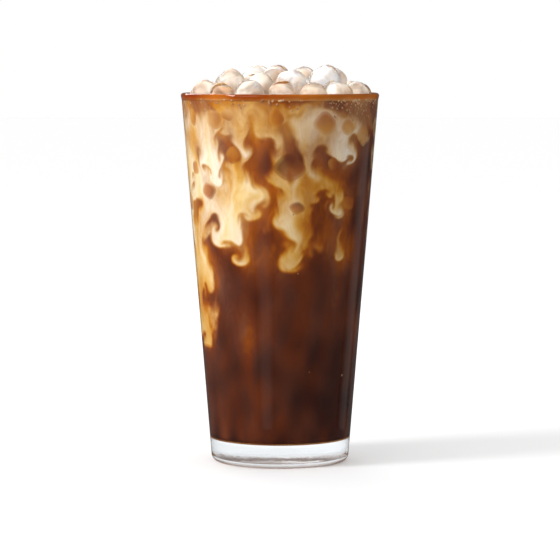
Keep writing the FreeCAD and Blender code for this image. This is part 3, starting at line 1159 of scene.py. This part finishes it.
# ---- Stage ----
def add_lamp(name, kind, way, power):
    """A lamp that shines that way."""
    lamp = bpy.data.lights.new(name, kind)
    lamp.energy = power
    obj = bpy.data.objects.new(name, lamp)
    bpy.context.scene.collection.objects.link(obj)
    obj.rotation_euler = way.to_track_quat("-Z", "Y").to_euler()
    return obj


def area_lamp(name, place, target, size, power):
    """A soft lamp that stands at a place and shines at a target."""
    obj = add_lamp(name, "AREA", Vector(target) - Vector(place), power)
    obj.location = place
    obj.data.shape = "RECTANGLE"
    obj.data.size, obj.data.size_y = size


def seen_or_mirrored(shader):
    """Masks for the floor and the room: seen by the eye or through glass, and seen in a reflection alone."""
    rays = shader.add("ShaderNodeLightPath").outputs
    seen = shader.math("MAXIMUM", rays["Is Camera Ray"], rays["Is Transmission Ray"])
    # light bent by glass counts as glossy too, so it is taken off
    return seen, shader.math("SUBTRACT", rays["Is Glossy Ray"], seen, clamp=True)


def white_floor(shader, stage):
    """A white floor that shows only a share of the shadow."""
    grain = shader.span(shader.noise(shader.position(), 30, 2), 0, 1)
    matt = shader.surface({"Base Color": shader.blend(grain, (0.9, 0.9, 0.9), (0.92, 0.92, 0.92)), "Roughness": 0.8})
    glow = shader.add("ShaderNodeEmission", {"Color": (1, 1, 1), "Strength": 1.0})
    dim = shader.add("ShaderNodeEmission", {"Color": (1, 1, 1), "Strength": stage.mirrored})
    seen, mirrored = seen_or_mirrored(shader)
    lifted = shader.math("MULTIPLY", seen, 1 - stage.shadow)
    lit = shader.add("ShaderNodeMixShader", {0: lifted, 1: matt, 2: glow.outputs[0]})
    return shader.add("ShaderNodeMixShader", {0: mirrored, 1: lit.outputs[0], 2: dim.outputs[0]}).outputs[0]


def black_card(shader):
    """Black cloth."""
    weave = shader.span(shader.noise(shader.position(), 200, 2), 0, 1)
    return shader.surface({"Base Color": shader.blend(weave, (0.01, 0.01, 0.01), (0.03, 0.03, 0.03)), "Roughness": 0.9})


def lit_card(shader, strength):
    """A glowing card, stronger along its middle."""
    across = shader.add("ShaderNodeSeparateXYZ", {"Vector": shader.position()}).outputs["X"]
    fall = shader.span(shader.math("ABSOLUTE", across), 0.3, 1.0, 1.0, 0.0)
    tint = shader.blend(fall, (0.0, 0.0, 0.0), (1.0, 0.99, 0.97))
    return shader.add("ShaderNodeEmission", {"Color": tint, "Strength": strength}).outputs[0]


def mirrored_card(name, corners, finish):
    """A card that shows in reflections alone."""
    card = mesh_object(name, corners, [(0, 1, 2, 3)], [finish])
    card.visible_camera = card.visible_diffuse = card.visible_shadow = card.visible_transmission = False
    return card


class COFFEE_OT_stage(bpy.types.Operator):
    """Makes the floor, the lamps, the white surroundings and the camera"""

    bl_idname = "iced_coffee.stage"
    bl_label = "Stage"
    REACH = 6.0  # half the width of the floor
    SUNK = 0.1 * MM  # the floor lies that far under the foot, so that the two never share a face
    BLACK_CARD = (0.30, 0.25, 0.75, 0.6)  # to the right of the glass: x, nearest and farthest y, and height
    # angle from the front in degrees, width and strength of the lit strips beside the glass
    STRIPS = ((-17, 0.034, 0.34), (104, 0.05, 0.22))
    STRIP_RADIUS = 0.09
    STRIP_HALF_HEIGHT = 0.07
    SUN_SPREAD = math.radians(16)  # how soft its shadow is
    KEY_PLACE, KEY_TARGET, KEY_SIZE = (-0.75, -0.75, 0.75), (0, 0, 0.09), (0.7, 0.7)
    RIM_PLACE, RIM_TARGET, RIM_SIZE = (-0.3, 0.8, 0.6), (0, 0, 0.17), (0.6, 0.4)

    def execute(self, context):
        stage = settings().stage
        self.surfaces(stage)
        self.lamps(stage)
        self.room(stage)
        self.camera(stage)
        context.scene.view_settings.view_transform = "Standard"
        return {"FINISHED"}

    def surfaces(self, stage):
        """The floor and the cards that the glass mirrors."""
        r = self.REACH
        corners = [(-r, -r, 0), (r, -r, 0), (r, r, 0), (-r, r, 0)]
        floor = mesh_object("floor", corners, [(0, 1, 2, 3)], [material(white_floor, stage)])
        floor.location.z = -self.SUNK
        x, near, far, high = self.BLACK_CARD
        mirrored_card("black_card", [(x, near, 0), (x, far, 0), (x, far, high), (x, near, high)], material(black_card))
        corners = [(-1, 0, -1), (1, 0, -1), (1, 0, 1), (-1, 0, 1)]
        for number, (turn, width, strength) in enumerate(self.STRIPS):
            name, angle = f"strip_{number}", FRONT + math.radians(turn)
            card = mirrored_card(name, corners, material(lit_card, strength, name=name))
            card.scale = (width / 2, 1, self.STRIP_HALF_HEIGHT)
            out = self.STRIP_RADIUS
            card.location = (out * math.cos(angle), out * math.sin(angle), self.STRIP_HALF_HEIGHT)
            card.rotation_euler.z = angle - FRONT

    def lamps(self, stage):
        """The sun that gives the shadow, a large lamp on the left and one behind."""
        level, up = math.cos(stage.sun_height), math.sin(stage.sun_height)
        way = Vector((math.cos(stage.sun_turn) * level, math.sin(stage.sun_turn) * level, -up))
        add_lamp("sun", "SUN", way, stage.sun).data.angle = self.SUN_SPREAD
        area_lamp("key", self.KEY_PLACE, self.KEY_TARGET, self.KEY_SIZE, stage.key)
        area_lamp("rim", self.RIM_PLACE, self.RIM_TARGET, self.RIM_SIZE, stage.rim)

    def room(self, stage):
        """White to the eye and through glass, dim in reflections, and an even light from all round."""
        world = bpy.data.worlds.new("white_room")
        bpy.context.scene.world = world
        world.use_nodes = True
        shader = Shader(world.node_tree)
        seen, mirrored = seen_or_mirrored(shader)
        light = shader.span(mirrored, 0, 1, stage.sky, stage.mirrored)
        strength = shader.span(seen, 0, 1, light, 1.0)
        back = shader.add("ShaderNodeBackground", {"Color": (1, 1, 1), "Strength": strength})
        shader.add("ShaderNodeOutputWorld", {"Surface": back.outputs[0]})

    def camera(self, stage):
        """The camera, in front of the glass and a little above its middle."""
        camera = bpy.data.objects.new("camera", bpy.data.cameras.new("camera"))
        bpy.context.scene.collection.objects.link(camera)
        camera.location = (0, -stage.distance, stage.camera_height)
        aim = Vector((0, 0, stage.aim_height)) - camera.location
        camera.rotation_euler = aim.to_track_quat("-Z", "Y").to_euler()
        camera.data.lens = stage.lens
        camera.data.clip_end = 50
        bpy.context.scene.camera = camera


# ---- Add-on ----
class IcedCoffeeSettings(bpy.types.PropertyGroup):
    """Every size and colour of the part and its stage."""

    glass: PointerProperty(type=GlassSettings)
    drink: PointerProperty(type=DrinkSettings)
    ice: PointerProperty(type=IceSettings)
    stage: PointerProperty(type=StageSettings)


OPERATORS = (
    COFFEE_OT_glass,
    COFFEE_OT_drink,
    COFFEE_OT_sunk_ice,
    COFFEE_OT_bubbles,
    COFFEE_OT_edge,
    COFFEE_OT_top_ice,
    COFFEE_OT_stage,
)


class COFFEE_PT_panel(bpy.types.Panel):
    """Lists the pieces and their settings"""

    bl_label = "Iced coffee"
    bl_idname = "COFFEE_PT_panel"
    bl_space_type = "VIEW_3D"
    bl_region_type = "UI"
    bl_category = "Iced coffee"

    def draw(self, context):
        for operator in OPERATORS:
            self.layout.operator(operator.bl_idname)
        for name in ("glass", "drink", "ice", "stage"):
            box = self.layout.box()
            group = getattr(settings(), name)
            for key in group.__annotations__:
                box.prop(group, key)


CLASSES = (GlassSettings, DrinkSettings, IceSettings, StageSettings, IcedCoffeeSettings, *OPERATORS, COFFEE_PT_panel)


def register():
    """Makes the classes known, and the settings of the scene."""
    for cls in CLASSES:
        bpy.utils.register_class(cls)
    bpy.types.Scene.iced_coffee = PointerProperty(type=IcedCoffeeSettings)


def unregister():
    """Takes them away again."""
    del bpy.types.Scene.iced_coffee
    for cls in reversed(CLASSES):
        bpy.utils.unregister_class(cls)


def main():
    """Builds every piece and the stage."""
    register()
    bpy.ops.iced_coffee.glass()
    bpy.ops.iced_coffee.drink()
    bpy.ops.iced_coffee.sunk_ice()
    bpy.ops.iced_coffee.bubbles()
    bpy.ops.iced_coffee.edge()
    bpy.ops.iced_coffee.top_ice()
    bpy.ops.iced_coffee.stage()


if __name__ == "__main__":
    main()
